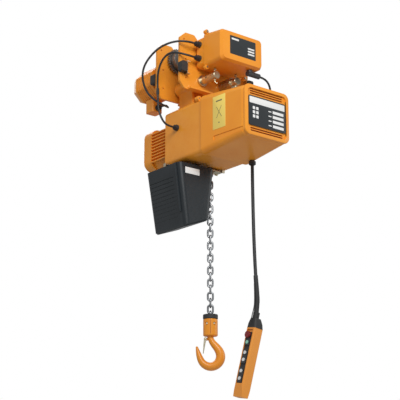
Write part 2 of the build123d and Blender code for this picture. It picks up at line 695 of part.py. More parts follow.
def hanging_link(link, index, x=CHAIN_X):
    """Link number index below the wheel; links turn to CHAIN_TURN over the first five."""
    z = AXIS_Z - PITCH * (index + 0.5)
    turn = CHAIN_TURN * min(1.0, max(0, index) / 5) if x > 0 else 0
    quarter = 90 if index % 2 == 0 else 0
    return Pos(x, 0, z) * Rot(0, 0, quarter - turn) * link


def wheel_links(link):
    """Five links over the wheel and the first link down each side."""
    centre_r = PITCH / 2 / math.tan(math.pi / SHEAVE_LINKS)
    links = []
    for index in range(5):
        angle = 18 + 36 * index
        flat = 90 if index % 2 else 0
        seat = Rot(0, -angle, 0) * Pos(centre_r, 0, 0) * Rot(0, 0, flat)
        links.append(Pos(0, 0, AXIS_Z) * seat * link)
    return links


# ---- hook block ------------------------------------------------------------
CHAIN_PIN_Z = AXIS_Z - PITCH * (UPPER_LINKS + LOWER_LINKS + 0.5) - 10.5
BOLT_Z = -1248.0
LATCH_PIVOT = (-24.0, -1317.0)


def hook_frame(u, z):
    """Local x runs across the hook's face, local y away from the controls, local z up."""
    return Plane(origin=in_hook_plane(u, 0, z), x_dir=ACROSS, z_dir=(0, 0, 1))


def in_hook_plane(u, v, z):
    """A point u across the hook's face, v away from the controls, at height z."""
    return (CHAIN_X + u * ACROSS[0] + v * AWAY[0], u * ACROSS[1] + v * AWAY[1], z)


def hook_plane(u, z, du, dz):
    """Section plane at (u, z) whose normal follows the hook's centre line."""
    normal = (du * ACROSS[0], du * ACROSS[1], dz)
    return Plane(origin=in_hook_plane(u, 0, z), x_dir=AWAY, z_dir=normal)


HOOK_SECTIONS = [
    # across, height, direction across, direction up, half thickness, half width
    (0, -1306, 0.0, -1.0, 15.0, 15.0),
    (1, -1322, 0.2, -1.0, 14.5, 15.5),
    (14, -1343, 0.62, -0.78, 14.5, 17.0),
    (34, -1365, 0.62, -0.78, 15.5, 22.0),
    (48, -1397, 0.0, -1.0, 16.5, 24.5),
    (35, -1431, -0.7, -0.7, 17.0, 23.5),
    (-1, -1447, -1.0, 0.0, 17.0, 21.5),
    (-35, -1430, -0.7, 0.7, 16.0, 18.5),
    (-50, -1397, -0.15, 1.0, 13.5, 15.0),
    (-57, -1374, -0.3, 1.0, 10.5, 10.0),
    (-63, -1353, -0.3, 1.0, 6.0, 4.5),
]


def between_sections(sections):
    """The given hook sections with two smooth in-between ones in each gap."""
    rows = [sections[0], *sections, sections[-1]]
    dense = []
    for a, b, c, d in zip(rows, rows[1:], rows[2:], rows[3:]):
        for t in (0.0, 1 / 3, 2 / 3):
            dense.append([0.5 * (2 * q + (r - p) * t + (2 * p - 5 * q + 4 * r - w) * t ** 2
                                 + (3 * q - p - 3 * r + w) * t ** 3)
                          for p, q, r, w in zip(a, b, c, d)])
    return dense + [list(sections[-1])]


def hook():
    """Forged hook: elliptical sections along the bowl, and a collared shank."""
    faces = [hook_plane(u, z, du, dz) * Ellipse(thick, wide)
             for u, z, du, dz, thick, wide in between_sections(HOOK_SECTIONS)]
    body = loft(faces, ruled=True)
    body += bar_z(CHAIN_X, 0, SHANK_R, -1308.5, -1262)
    body += bar_z(CHAIN_X, 0, 23, -1272, -1264)
    lug = Rot(90, 0, 0) * Cylinder(8, 14) + Pos(11, 0, 0) * Box(22, 11, 12)
    lug -= Rot(90, 0, 0) * Cylinder(3.08, 30)
    return body + hook_frame(*LATCH_PIVOT) * lug


def hook_latch():
    """Bent-sheet safety latch: two cheeks on the pivot and a tongue to the hook tip."""
    side_view = Plane(origin=(0, 11, 0), x_dir=(1, 0, 0), z_dir=(0, -1, 0))
    cheek = Circle(7) + Polygon((-8, -16), (2, -16), (5, 0), (-7, 0), align=None)
    tongue = Polygon((-11.5, -66), (-8, -66), (2, -14), (-8, -12), align=None)
    latch = extrude(side_view * (cheek + tongue), amount=22)
    latch -= Box(40, 15.6, 23)
    latch -= Rot(90, 0, 0) * Cylinder(3.08, 30)
    inner = Polygon((-9.3, -70), (-5, -70), (9, -16), (-5.5, -16), align=None)
    latch -= extrude(Plane(origin=(0, 8, 0), x_dir=(1, 0, 0), z_dir=(0, -1, 0)) * inner, amount=16)
    return hook_frame(*LATCH_PIVOT) * latch


def yoke_half(side):
    """Half of the hook block; side is -1 or +1 across the hook's face."""
    whole = bar_z(CHAIN_X, 0, YOKE_R, YOKE_BOTTOM, YOKE_TOP)
    whole = fillet(whole.edges().filter_by(GeomType.CIRCLE), 6)
    whole -= bar_z(CHAIN_X, 0, 20, -1262, YOKE_TOP + 1)
    whole -= bar_z(CHAIN_X, 0, 26, -1286, -1262)
    whole -= bar_z(CHAIN_X, 0, SHANK_R + 1.2, YOKE_BOTTOM - 1, -1280)
    for v in BOLT_OFFSETS:
        hole = Rot(0, 90, 0) * Cylinder(4.05, 100)
        for reach in (-1, 1):
            hole += Pos(reach * 36.5, 0, 0) * Rot(0, 90, 0) * Cylinder(7.2, 47)
        whole -= hook_frame(0, BOLT_Z) * Pos(0, v, 0) * hole
    whole -= hook_frame(0, CHAIN_PIN_Z) * Rot(90, 0, 0) * Cylinder(4.7, 48.6)
    middle = Plane(origin=in_hook_plane(side * 50.2, 0, -1260), x_dir=AWAY, z_dir=(0, 0, 1))
    return whole & extrude(middle * Rectangle(120, 100), amount=60, both=True)


BOLT_OFFSETS = (-26, 26)


def yoke_bolts():
    bolt = Rot(0, 90, 0) * Cylinder(4, 26)
    for reach in (-1, 1):
        bolt += Pos(reach * 16.5, 0, 0) * Rot(0, 90, 0) * extrude(
            RegularPolygon(6.4, 6), amount=3.5, both=True)
    return [hook_frame(0, BOLT_Z) * Pos(0, v, 0) * bolt for v in BOLT_OFFSETS]


def chain_pin():
    """Hardened pin through the last link of the chain, held between the yoke halves."""
    return hook_frame(0, CHAIN_PIN_Z) * Rot(90, 0, 0) * Cylinder(4.6, 48)


def thrust_bearing():
    """Ball thrust bearing between the hook's collar and the yoke's inner shoulder."""
    washer = bar_z(CHAIN_X, 0, 25.6, -1285.8, -1280) - bar_z(CHAIN_X, 0, 16.2, -1290, -1270)
    balls = []
    for index in range(12):
        angle = 2 * math.pi * index / 12
        balls.append(Pos(CHAIN_X + 20.5 * math.cos(angle), 20.5 * math.sin(angle), -1276.2)
                     * Sphere(3.7))
    return Compound(children=[washer, *balls])


def latch_pin():
    return hook_frame(*LATCH_PIVOT) * Rot(90, 0, 0) * Cylinder(3, 24)


# ---- chain container -------------------------------------------------------
def bin_form(inset):
    """Tapered box whose floor rises towards +X."""
    top = Pos(-80, 72, BIN_TOP + (1 if inset else 0)) * RectangleRounded(
        214 - 2 * inset, 266 - 2 * inset, 24 - inset)
    bottom = Pos(-74, 66, -830 + inset) * RectangleRounded(
        132 - 2 * inset, 250 - 2 * inset, 24 - inset)
    form = loft([top, bottom], ruled=True)
    slope = Plane(origin=(-140, 66, -816 + inset), x_dir=(1, 0, 0.36), z_dir=(-0.36, 0, 1))
    return form & extrude(slope * Rectangle(600, 600), amount=500)


BIN_RIB_FOOT = -745.0


def chain_container():
    """Two shells that meet at a flanged seam near the front corner."""
    solid_form = bin_form(0)
    floor_edges = solid_form.faces().sort_by(Axis.Z)[0].edges()
    shell = chamfer(floor_edges, 9) - bin_form(BIN_WALL)
    for index in range(11):
        z = -575 - 19 * index
        lean = (BIN_TOP - z) * 0.142
        shell -= block(-188 + lean - 3, -188 + lean + 3, -6, 190, z - 2.2, z + 2.2)
    rib = bin_form(-6) - bin_form(1.5)
    rib &= block(-300, 200, BIN_SEAM_Y - 5, BIN_SEAM_Y + 5, BIN_RIB_FOOT, BIN_TOP - 2)
    whole = shell + rib
    front = whole & block(-300, 200, -200, BIN_SEAM_Y, -900, -500)
    rear = whole & block(-300, 200, BIN_SEAM_Y, 300, -900, -500)
    return front, rear


def container_bracket():
    """Bent steel hanger from the underside of the body to the container's rim."""
    hanger = block(-176, 16, 60, 76, BODY_BOTTOM - 6, BODY_BOTTOM)
    for x in (-176, 12):
        hanger += block(x, x + 4, 60, 76, -545, BODY_BOTTOM)
    return hanger


def stored_chain():
    """Heap of slack chain in the container, as one rounded mass."""
    heap = block(-116, -46, -14, 152, -772, -706)
    return fillet(heap.edges(), 22)


# ---- limit switch lever ----------------------------------------------------
def limit_lever():
    lever = block(14, 104, -22, 22, -503, -499)
    lever -= block(CHAIN_X - 21.5, CHAIN_X + 21.5, -19, 19, -510, -490)
    lever += bar_y(108, -498, 6, -22, 22)
    return lever - bar_y(108, -498, 3.06, -30, 30)


def lever_hinge():
    pin = bar_y(108, -498, 3, -30, 30)
    for y0, y1 in ((-30, -23), (23, 30)):
        pin += block(100, 116, y0, y1, -506, BODY_BOTTOM)
    return pin


# ---- pendant ---------------------------------------------------------------
def hang(shape):
    """Tilt a shape drawn about the pendant's top and move it into place."""
    turned = shape.rotate(Axis((0, 0, 0), AWAY), PENDANT_TILT)
    return Pos(*PENDANT_TOP) * turned


PENDANT_LENGTH = 316.0
BUTTON_Z = {"stop": -35, "start": -69, "up": -117, "down": -150, "left": -201, "right": -235}


def pendant_form(inset):
    """Handset body: full width to near the foot, then tapered."""
    outline = [
        (-26 + inset, -264), (-19 + inset, -PENDANT_LENGTH + inset),
        (17 - inset, -PENDANT_LENGTH + inset), (26 - inset, -260), (26 - inset, 0),
        (-26 + inset, 0)]
    body = prism_y(Polygon(*outline, align=None), -30 + inset, 30 - inset)
    return body


def pendant_shells():
    outer = pendant_form(0)
    upright = outer.edges().filter_by(lambda e: abs((e % 0.5).Y) < 0.1 and e.length > 60)
    outer = fillet(upright, 9)
    hollow = pendant_form(3.5) - block(-40, 40, -40, 40, -20, 40)
    body = outer - hollow
    body -= block(-27, -20, -20, 20, -256, -8)
    front = body & block(-40, 0, -40, 40, -400, 10)
    back = body & block(0, 40, -40, 40, -400, 10)
    return hang(front), hang(back)


def button_panel():
    """Switch plate behind the window, with black guards round the buttons."""
    plate = block(-22.4, -18.5, -23, 23, -262, -20.5)
    for z0, z1 in ((-84, -53), (-167, -100), (-252, -184)):
        plate += block(-28, -22.4, -15, 15, z0, z1)
    for name, z in BUTTON_Z.items():
        radius = 8.2 if name != "stop" else 6.2
        plate -= bar_x(0, z, radius, -40, 0)
    return hang(plate)


def switch_blocks():
    return [hang(block(-9.5, 12, -14, 14, z - 14, z + 14)) for z in BUTTON_Z.values()]


def push_button(name):
    z = BUTTON_Z[name]
    if name == "stop":
        head = bar_x(0, z, 15, -40, -31) + bar_x(0, z, 6, -31, -14)
        return hang(head)
    return hang(bar_x(0, z, 8, -31, -18) + bar_x(0, z, 5, -18, -14))


def pendant_boot():
    """Black rubber boot that grips the cable and closes the top of the handset."""
    foot = RectangleRounded(54, 62, 12)
    waist = Pos(-5 * ACROSS[0], -5 * ACROSS[1], 46) * RectangleRounded(38, 42, 12)
    middle = Pos(-2 * ACROSS[0], -2 * ACROSS[1], 22) * RectangleRounded(50, 56, 12)
    boot = loft([foot, middle, waist], ruled=True)
    boot += Pos(-7 * ACROSS[0], -7 * ACROSS[1], 60) * Cylinder(15, 28)
    return hang(boot)


def along_pendant(distance):
    """A point above the pendant's top, on the neck's axis."""
    tilt = math.radians(NECK_TILT)
    lean = math.sin(tilt) * distance
    x, y, z = PENDANT_TOP
    return (x + lean * ACROSS[0], y + lean * ACROSS[1], z + math.cos(tilt) * distance)


# ---- glands and cords ------------------------------------------------------
def gland(start, end):
    """Cable gland: a threaded root, a hexagon-like nut and a domed cap."""
    ax, ay, az = start
    bx, by, bz = end

    def at(share):
        return (ax + (bx - ax) * share, ay + (by - ay) * share, az + (bz - az) * share)
    body = bar_between(at(0), at(0.45), 15)
    body += bar_between(at(0.45), at(0.85), 12.5)
    return body + bar_between(at(0.85), at(1), 9)


LINK_CABLES = {
    "travel_motor_cable": [
        (-152, -134, 66), (-198, -134, 66), (-248, -88, 66), (-290, -38, 42), (-318, 6, -2),
        (-330, 40, -52), (-318, 60, -104), (-290, 64, -156), (-250, 54, -190), (-206, 46, -206),
        (-164, 60, -204), (-134, 98, -188), (-120, 140, -158), (-120, 180, -158)],
    "hoist_power_cable": [
        (-152, -134, -5), (-194, -134, -5), (-228, -100, 10), (-246, -52, 20), (-256, -10, -8),
        (-255, 20, -54), (-246, 36, -102), (-239, 42, -148), (-241, 38, -194), (-243, 30, -238),
        (-238, 21, -276), (-222, 17, -304), (-198, 16, -318), (-162, 16, -318)],
    "control_cable": [
        (134, -268, -76), (172, -268, -76), (206, -264, -100), (228, -248, -142),
        (238, -224, -192), (242, -194, -238), (240, -164, -272), (224, -140, -296),
        (198, -128, -306), (162, -128, -306)],
}
PENDANT_CABLE = [
    (118, -230, -516), (118, -230, -610), (118.5, -231, -740), (119.5, -233, -880),
    (121.5, -238, -1030), along_pendant(138), along_pendant(74)]


def cable_glands():
    y, z = RIGHT_BODY_GLAND
    glands = [gland((-122, GLAND_Y, height), (-152, GLAND_Y, height)) for height in LEFT_GLANDS_Z]
    glands += [gland((-BODY_X, gy, gz), (-162, gy, gz)) for gy, gz in LEFT_BODY_GLANDS]
    glands.append(gland((BODY_X, y, z), (162, y, z)))
    glands.append(gland((-120, 204, -158), (-120, 180, -158)))
    elbow = bar_z(74, -268, 14, -76, -58.8) + bar_x(-268, -76, 13, 60, 134)
    glands.append(elbow)
    x, y, z = PENDANT_EXIT
    nut = bar_z(x, y, 17, -511, -497.5) + bar_z(x, y, 12, -497.5, -478) + bar_z(x, y, 11, z, -511)
    glands.append(nut)
    return glands


# ---- build -----------------------------------------------------------------
def save_trolley():
    save("side_plate_front", side_plate(-1))
    save("side_plate_rear", side_plate(1))
    save("washers_and_split_pins", *adjusting_washers(), *split_pins())
    save("suspender", suspender())
    corners = [(x, side) for side in (-1, 1) for x in (-WHEEL_X, WHEEL_X)]
    axles = [wheel_axle(x, side) for x, side in corners]
    save("shafts_and_axles", *suspension_shafts(), *axles)
    save("wheel_bearings", *[wheel_bearing(x, side) for x, side in corners], *bearings())
    save("track_wheel_front_left", track_wheel(-WHEEL_X, -1))
    save("track_wheel_front_right", track_wheel(WHEEL_X, -1))
    for name, x in (("left", -WHEEL_X), ("right", WHEEL_X)):
        toward = direction_deg(PINION_CENTRE, (x, WHEEL_Z))
        phase = mesh_phase(TRACK_PINION_TEETH, 90, TRACK_TEETH, toward)
        save(f"track_wheel_rear_{name}", track_wheel(x, 1, phase))
    save("bumpers", *bumpers())
    save("brackets", *bumper_brackets(), container_bracket(), lever_hinge(), chain_guide())


def save_travel_drive():
    case, lid = travel_gearcase()
    lid -= bar_y(*IDLER_CENTRE, 8.06, 140, 153)
    lid -= bar_y(*MOTOR_CENTRE, 16, 140, 160)
    save("travel_gearcase", case)
    rotor, idler, drive = travel_drive()
    save("travel_rotor", rotor)
    save("travel_idler_gear", idler)
    save("travel_drive_shaft", drive)
    housing, cover, box = travel_motor()
    save("travel_motor_housing", housing + lid, box)
    save("travel_motor_end_cover", cover)


def save_hoist():
    save("hoist_body", hoist_body())
    save("gear_cover", gear_cover())
    counter, wheel_gear = hoist_gears()
    save("counter_shaft", counter)
    save("load_sheave", load_sheave() + wheel_gear)
    save("motor_housing", motor_housing())
    save("motor_end_cover", motor_end_cover())
    save("stators", *stators())
    save("motor_rotor", motor_rotor())
    save("cooling_fan", cooling_fan())


def save_electrics():
    save("trolley_box_base", trolley_box_base())
    save("trolley_box_cover", trolley_box_cover())
    save("screws", *trolley_cover_screws(), *cover_screws(), *foot_bolts())
    save("electrical_gear", *trolley_electrics(), *hoist_electrics())
    save("controller_cover", controller_cover())
    save("name_plates", name_plate(), trolley_data_plate())


def save_chain():
    link = chain_link()
    slack = [hanging_link(link, index, -CHAIN_X) for index in range(SLACK_LINKS)]
    over_wheel = [*wheel_links(link), hanging_link(link, 0), *slack]
    save("chain_over_wheel", *over_wheel, stored_chain())
    last_upper = 1 + UPPER_LINKS
    upper = [hanging_link(link, index) for index in range(1, last_upper)]
    lower = [hanging_link(link, index) for index in range(last_upper, last_upper + LOWER_LINKS)]
    save("chain_upper", *upper)
    save("chain_lower", *lower)
    front, rear = chain_container()
    save("chain_container_front", front)
    save("chain_container_rear", rear)
    save("limit_lever", limit_lever())


def save_hook_block():
    ring = bar_z(CHAIN_X, 0, RING_R, YOKE_TOP, RING_TOP) - bar_z(CHAIN_X, 0, 19, -1230, -1200)
    save("cushion_ring", chamfer(ring.edges().filter_by(GeomType.CIRCLE), 1.5))
    save("yoke_left", yoke_half(-1))
    save("yoke_right", yoke_half(1))
    save("block_pins_and_bearing", *yoke_bolts(), chain_pin(), thrust_bearing())
    save("hook", hook(), latch_pin())
    save("hook_latch", hook_latch())


def save_pendant():
    front, back = pendant_shells()
    save("pendant_front_shell", front)
    save("pendant_back_shell", back)
    save("pendant_boot", pendant_boot())
    save("button_panel", button_panel(), *switch_blocks())
    for name in BUTTON_Z:
        save(f"{name}_button", push_button(name))
    save("cable_glands", *cable_glands())
    for name, points in LINK_CABLES.items():
        save(name, cord(points, CABLE_R))
    save("pendant_cable", cord(PENDANT_CABLE, PENDANT_CABLE_R))


save_trolley()
save_travel_drive()
save_hoist()
save_electrics()
save_chain()
save_hook_block()
save_pendant()
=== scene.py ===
import json
import math

import bpy
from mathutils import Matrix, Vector


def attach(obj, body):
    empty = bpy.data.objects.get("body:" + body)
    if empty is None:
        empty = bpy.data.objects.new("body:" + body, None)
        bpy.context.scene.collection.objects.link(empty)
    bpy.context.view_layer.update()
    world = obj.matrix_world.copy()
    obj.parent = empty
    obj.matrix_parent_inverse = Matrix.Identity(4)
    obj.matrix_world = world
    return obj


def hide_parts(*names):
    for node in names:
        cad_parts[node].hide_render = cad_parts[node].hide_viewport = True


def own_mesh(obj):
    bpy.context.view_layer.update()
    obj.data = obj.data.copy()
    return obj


bl_info = {
    "name": "Chain hoist with motorised trolley",
    "version": (1, 0, 0),
    "blender": (4, 5, 0),
    "location": "3D Viewport > Sidebar > Hoist",
    "description": "Dresses an electric chain hoist: cables, chain, hook, plates and finishes",
    "category": "Object",
}

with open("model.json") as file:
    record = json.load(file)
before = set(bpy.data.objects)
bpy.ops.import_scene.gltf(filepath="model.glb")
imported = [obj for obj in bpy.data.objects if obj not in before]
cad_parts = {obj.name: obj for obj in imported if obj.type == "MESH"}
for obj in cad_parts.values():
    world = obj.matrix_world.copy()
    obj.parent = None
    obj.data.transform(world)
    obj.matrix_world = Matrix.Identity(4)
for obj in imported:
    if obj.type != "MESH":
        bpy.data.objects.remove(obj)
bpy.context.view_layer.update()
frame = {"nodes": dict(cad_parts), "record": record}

# ---- places shared with the solid model, in metres --------------------------
PLATE_TURN = math.radians(38.6)
ACROSS = Vector((math.cos(PLATE_TURN), -math.sin(PLATE_TURN), 0))
AWAY = Vector((math.sin(PLATE_TURN), math.cos(PLATE_TURN), 0))
CHAIN_X = 0.0485
LINK_WIRE, LINK_PITCH, LINK_HALF_WIDTH = 0.0098, 0.030, 0.0115
PENDANT_TOP = Vector((0.1143, -0.2379, -1.293))
NECK_TILT = math.radians(5.5)
COVER_SEAM_Y, COVER_FRONT_Y = -0.178, -0.471
COVER_REAR_X, COVER_FRONT_X = 0.150, 0.131
BIN_FACE_Y = -0.0632
FRONT_RIM = {"middle": -0.352, "width": 0.266, "height": 0.242, "depth": 0.015,
             "corner": 0.030, "hole_corner": 0.021}
LOUVRE_HEIGHTS = (-0.272, -0.261, -0.250, -0.438, -0.449)
SIDE_LABEL_Y, SIDE_LABEL_Z = -0.301, -0.326

# ---- stage ---------------------------------------------------------------------
FLOOR_Z, FLOOR_TONE = -2.45, (0.62, 0.62, 0.62, 1)
SKY_ON_OBJECTS, SKY_SEEN = 0.42, 1.0
LAMPS = [("key", (-1.7, -2.7, 1.0), 1.5, 78), ("fill", (2.6, -1.6, -0.4), 2.0, 14),
         ("back", (1.0, 2.6, 1.2), 2.0, 30)]
CAMERA_PLACE, CAMERA_AIM = (-3.323, -4.145, -2.163), (0.6002, 0.7518, 0.2731)
CAMERA_LENS, CAMERA_SENSOR = 104.2, 36

# ---- routes and lines ------------------------------------------------------------

TRAVEL_CABLE = [
    (-0.152, -0.134, 0.066), (-0.198, -0.134, 0.066), (-0.248, -0.088, 0.066),
    (-0.290, -0.038, 0.042), (-0.318, 0.006, -0.002), (-0.330, 0.040, -0.052),
    (-0.318, 0.060, -0.104), (-0.290, 0.064, -0.156), (-0.250, 0.054, -0.190),
    (-0.206, 0.046, -0.206), (-0.164, 0.060, -0.204), (-0.134, 0.098, -0.188),
    (-0.120, 0.140, -0.158), (-0.120, 0.180, -0.158)]
POWER_CABLE = [
    (-0.152, -0.134, -0.005), (-0.194, -0.134, -0.005), (-0.228, -0.100, 0.010),
    (-0.246, -0.052, 0.020), (-0.256, -0.010, -0.008), (-0.255, 0.020, -0.054),
    (-0.246, 0.036, -0.102), (-0.239, 0.042, -0.148), (-0.241, 0.038, -0.194),
    (-0.243, 0.030, -0.238), (-0.238, 0.021, -0.276), (-0.222, 0.017, -0.304),
    (-0.198, 0.016, -0.318), (-0.162, 0.016, -0.318)]
CONTROL_CABLE = [
    (0.134, -0.268, -0.076), (0.172, -0.268, -0.076), (0.206, -0.264, -0.100),
    (0.228, -0.248, -0.142), (0.238, -0.224, -0.192), (0.242, -0.194, -0.238),
    (0.240, -0.164, -0.272), (0.224, -0.140, -0.296), (0.198, -0.128, -0.306),
    (0.162, -0.128, -0.306)]


def along_pendant(distance):
    """A point above the handset's top, on the neck's axis."""
    return PENDANT_TOP + distance * (math.cos(NECK_TILT) * Vector((0, 0, 1))
                                     + math.sin(NECK_TILT) * ACROSS)


PENDANT_CABLE = [
    (0.118, -0.230, -0.516), (0.118, -0.230, -0.610), (0.1185, -0.231, -0.740),
    (0.1195, -0.233, -0.880), (0.1215, -0.238, -1.030),
    tuple(along_pendant(0.138)), tuple(along_pendant(0.074))]

# Hook centre line: across, height, scale of the section.
HOOK_LINE = [
    (0.000, -1.3045, 0.80), (0.001, -1.320, 0.82), (0.014, -1.341, 0.96),
    (0.036, -1.362, 1.16), (0.0515, -1.397, 1.34), (0.037, -1.4335, 1.30),
    (-0.001, -1.4505, 1.20), (-0.0385, -1.4325, 1.04), (-0.052, -1.398, 0.86),
    (-0.0590, -1.374, 0.60), (-0.064, -1.352, 0.26)]


def in_hook_plane(u, v, z):
    return Vector((CHAIN_X, 0, z)) + u * ACROSS + v * AWAY


def cover_side_x(y):
    """How far the tapered controller cover reaches along X at this Y."""
    share = (COVER_SEAM_Y - y) / (COVER_SEAM_Y - COVER_FRONT_Y)
    return COVER_REAR_X + share * (COVER_FRONT_X - COVER_REAR_X)


# ---- settings ----------------------------------------------------------------
def colour(name, description, default):
    return bpy.props.FloatVectorProperty(
        name=name, description=description, default=default, size=4, min=0, max=1,
        subtype="COLOR")


def length(name, description, default):
    return bpy.props.FloatProperty(
        name=name, description=description, default=default, min=0, unit="LENGTH")


def share(name, description, default):
    return bpy.props.FloatProperty(
        name=name, description=description, default=default, min=0, max=1, subtype="FACTOR")


class HoistFinishes(bpy.types.PropertyGroup):
    """Colours of the hoist's finishes."""
    paint: colour("Enamel", "Orange-yellow machine enamel", (0.93, 0.36, 0.022, 1))
    paint_shade: colour("Enamel shade", "Deeper tone in the enamel", (0.84, 0.27, 0.014, 1))
    primer: colour("Worn enamel", "Paler tone where edges are rubbed", (0.97, 0.50, 0.10, 1))
    handset: colour("Handset plastic", "Orange handset shell", (0.93, 0.34, 0.045, 1))
    container: colour("Container plastic", "Slate chain container", (0.017, 0.023, 0.028, 1))
    chain: colour("Chain", "Galvanised chain", (0.42, 0.44, 0.46, 1))
    zinc: colour("Yellow zinc", "Plated shafts and screws", (0.62, 0.53, 0.33, 1))
    label_white: colour("Label white", "Blank light areas of the plates", (0.86, 0.86, 0.84, 1))
    label_dark: colour("Label dark", "Dark ground of the plates", (0.030, 0.036, 0.040, 1))
    label_yellow: colour("Label yellow", "Side label", (0.95, 0.72, 0.16, 1))


class HoistSizes(bpy.types.PropertyGroup):
    """Sizes of the added trim."""
    cable: length("Cable", "Diameter of the link cables", 0.010)
    pendant_cable: length("Pendant cable", "Diameter of the pendant cable", 0.016)
    rim: length("Front rim", "Width of the raised rim round the front panel", 0.017)
    label_film: length("Label film", "Thickness of the printed film", 0.0008)
    wear: share("Wear", "How much the enamel is rubbed", 0.25)
    dust: share("Dust", "How much dust lies on upward faces", 0.18)


# ---- modelling helpers ----------------------------------------------------------
def clear_selection():
    if bpy.context.mode != "OBJECT":
        bpy.ops.object.mode_set(mode="OBJECT")
    bpy.ops.object.select_all(action="DESELECT")


def bake_place(piece):
    """Puts the piece's turn and place into its mesh."""
    clear_selection()
    bpy.context.view_layer.objects.active = piece
    piece.select_set(True)
    bpy.ops.object.transform_apply(location=True, rotation=True, scale=True)


def apply_modifier(piece, kind, **values):
    clear_selection()
    bpy.context.view_layer.objects.active = piece
    piece.select_set(True)
    modifier = piece.modifiers.new(kind.title(), kind)
    for key, value in values.items():
        setattr(modifier, key, value)
    bpy.ops.object.modifier_apply(modifier=modifier.name)


def smooth(piece, degrees=35):
    clear_selection()
    bpy.context.view_layer.objects.active = piece
    piece.select_set(True)
    bpy.ops.object.shade_smooth_by_angle(angle=math.radians(degrees))


def slab(name, low, high, bevel, segments=3):
    """A block between two corners with rounded edges."""
    clear_selection()
    low, high = Vector(low), Vector(high)
    bpy.ops.mesh.primitive_cube_add(size=1, location=(low + high) / 2, scale=high - low)
    piece = bpy.context.object
    piece.name = name
    bake_place(piece)
    apply_modifier(piece, "BEVEL", width=bevel, segments=segments, limit_method="ANGLE")
    smooth(piece)
    return piece


def plate(name, centre, width, height, thick, corner, turn=(0, 0, 0)):
    """A thin plate with rounded corners, facing -Y before it is turned."""
    clear_selection()
    bpy.ops.mesh.primitive_plane_add(size=1)
    piece = bpy.context.object
    piece.name = name
    piece.scale = (width, height, 1)
    bake_place(piece)
    bpy.ops.object.mode_set(mode="EDIT")
    bpy.ops.mesh.select_all(action="SELECT")
    bpy.ops.mesh.bevel(offset=corner, segments=6, affect="VERTICES")
    bpy.ops.mesh.extrude_region_move(TRANSFORM_OT_translate={"value": (0, 0, thick)})
    bpy.ops.mesh.select_all(action="SELECT")
    bpy.ops.mesh.normals_make_consistent(inside=False)
    bpy.ops.object.mode_set(mode="OBJECT")
    apply_modifier(piece, "BEVEL", width=thick * 0.3, segments=2, limit_method="ANGLE")
    piece.rotation_euler = (math.radians(90), 0, 0)
    bake_place(piece)
    piece.rotation_euler = turn
    piece.location = centre
    bake_place(piece)
    smooth(piece)
    return piece


def join(name, pieces):
    clear_selection()
    for piece in pieces:
        piece.select_set(True)
    bpy.context.view_layer.objects.active = pieces[0]
    bpy.ops.object.join()
    pieces[0].name = name
    return pieces[0]


def tube(name, points, radius, radii=None):
    """A round bar along a smooth line, as a curve."""
    curve = bpy.data.curves.new(name, "CURVE")
    curve.dimensions = "3D"
    curve.bevel_depth = radius
    curve.bevel_resolution = 6
    curve.resolution_u = 12
    curve.use_fill_caps = True
    spline = curve.splines.new("NURBS")
    spline.points.add(len(points) - 1)
    for index, (point, place) in enumerate(zip(spline.points, points)):
        point.co = (*place, 1)
        point.radius = radii[index] if radii else 1
    spline.order_u = 3
    spline.use_endpoint_u = True
    piece = bpy.data.objects.new(name, curve)
    bpy.context.scene.collection.objects.link(piece)
    return piece


def to_mesh(piece):
    clear_selection()
    bpy.context.view_layer.objects.active = piece
    piece.select_set(True)
    bpy.ops.object.convert(target="MESH")
    return bpy.context.object


def spline_length(piece):
    """Length of a curve's own line, in metres."""
    bare = piece.data.copy()
    bare.bevel_depth = 0
    probe = bpy.data.objects.new("probe", bare)
    line = bpy.data.meshes.new_from_object(probe)
    places = [v.co.copy() for v in line.vertices]
    total = sum((b - a).length for a, b in zip(places, places[1:]))
    bpy.data.objects.remove(probe)
    bpy.data.meshes.remove(line)
    bpy.data.curves.remove(bare)
    return total


def node_box(name):
    """Lowest and highest corner of one solid."""
    node = frame["nodes"][name]
    places = [node.matrix_world @ Vector(corner) for corner in node.bound_box]
    return (Vector(map(min, *places)), Vector(map(max, *places)))


def paint(piece, material, slot=None):
    piece.data.materials.clear()
    piece.data.materials.append(material)


# ---- shader groups ---------------------------------------------------------------
def shader_group(name, inputs, outputs):
    group = bpy.data.node_groups.new(name, "ShaderNodeTree")
    for label, kind, default in inputs:
        socket = group.interface.new_socket(label, in_out="INPUT", socket_type=kind)
        if default is not None:
            socket.default_value = default
    for label, kind in outputs:
        group.interface.new_socket(label, in_out="OUTPUT", socket_type=kind)
    return group, group.nodes.new("NodeGroupInput"), group.nodes.new("NodeGroupOutput")


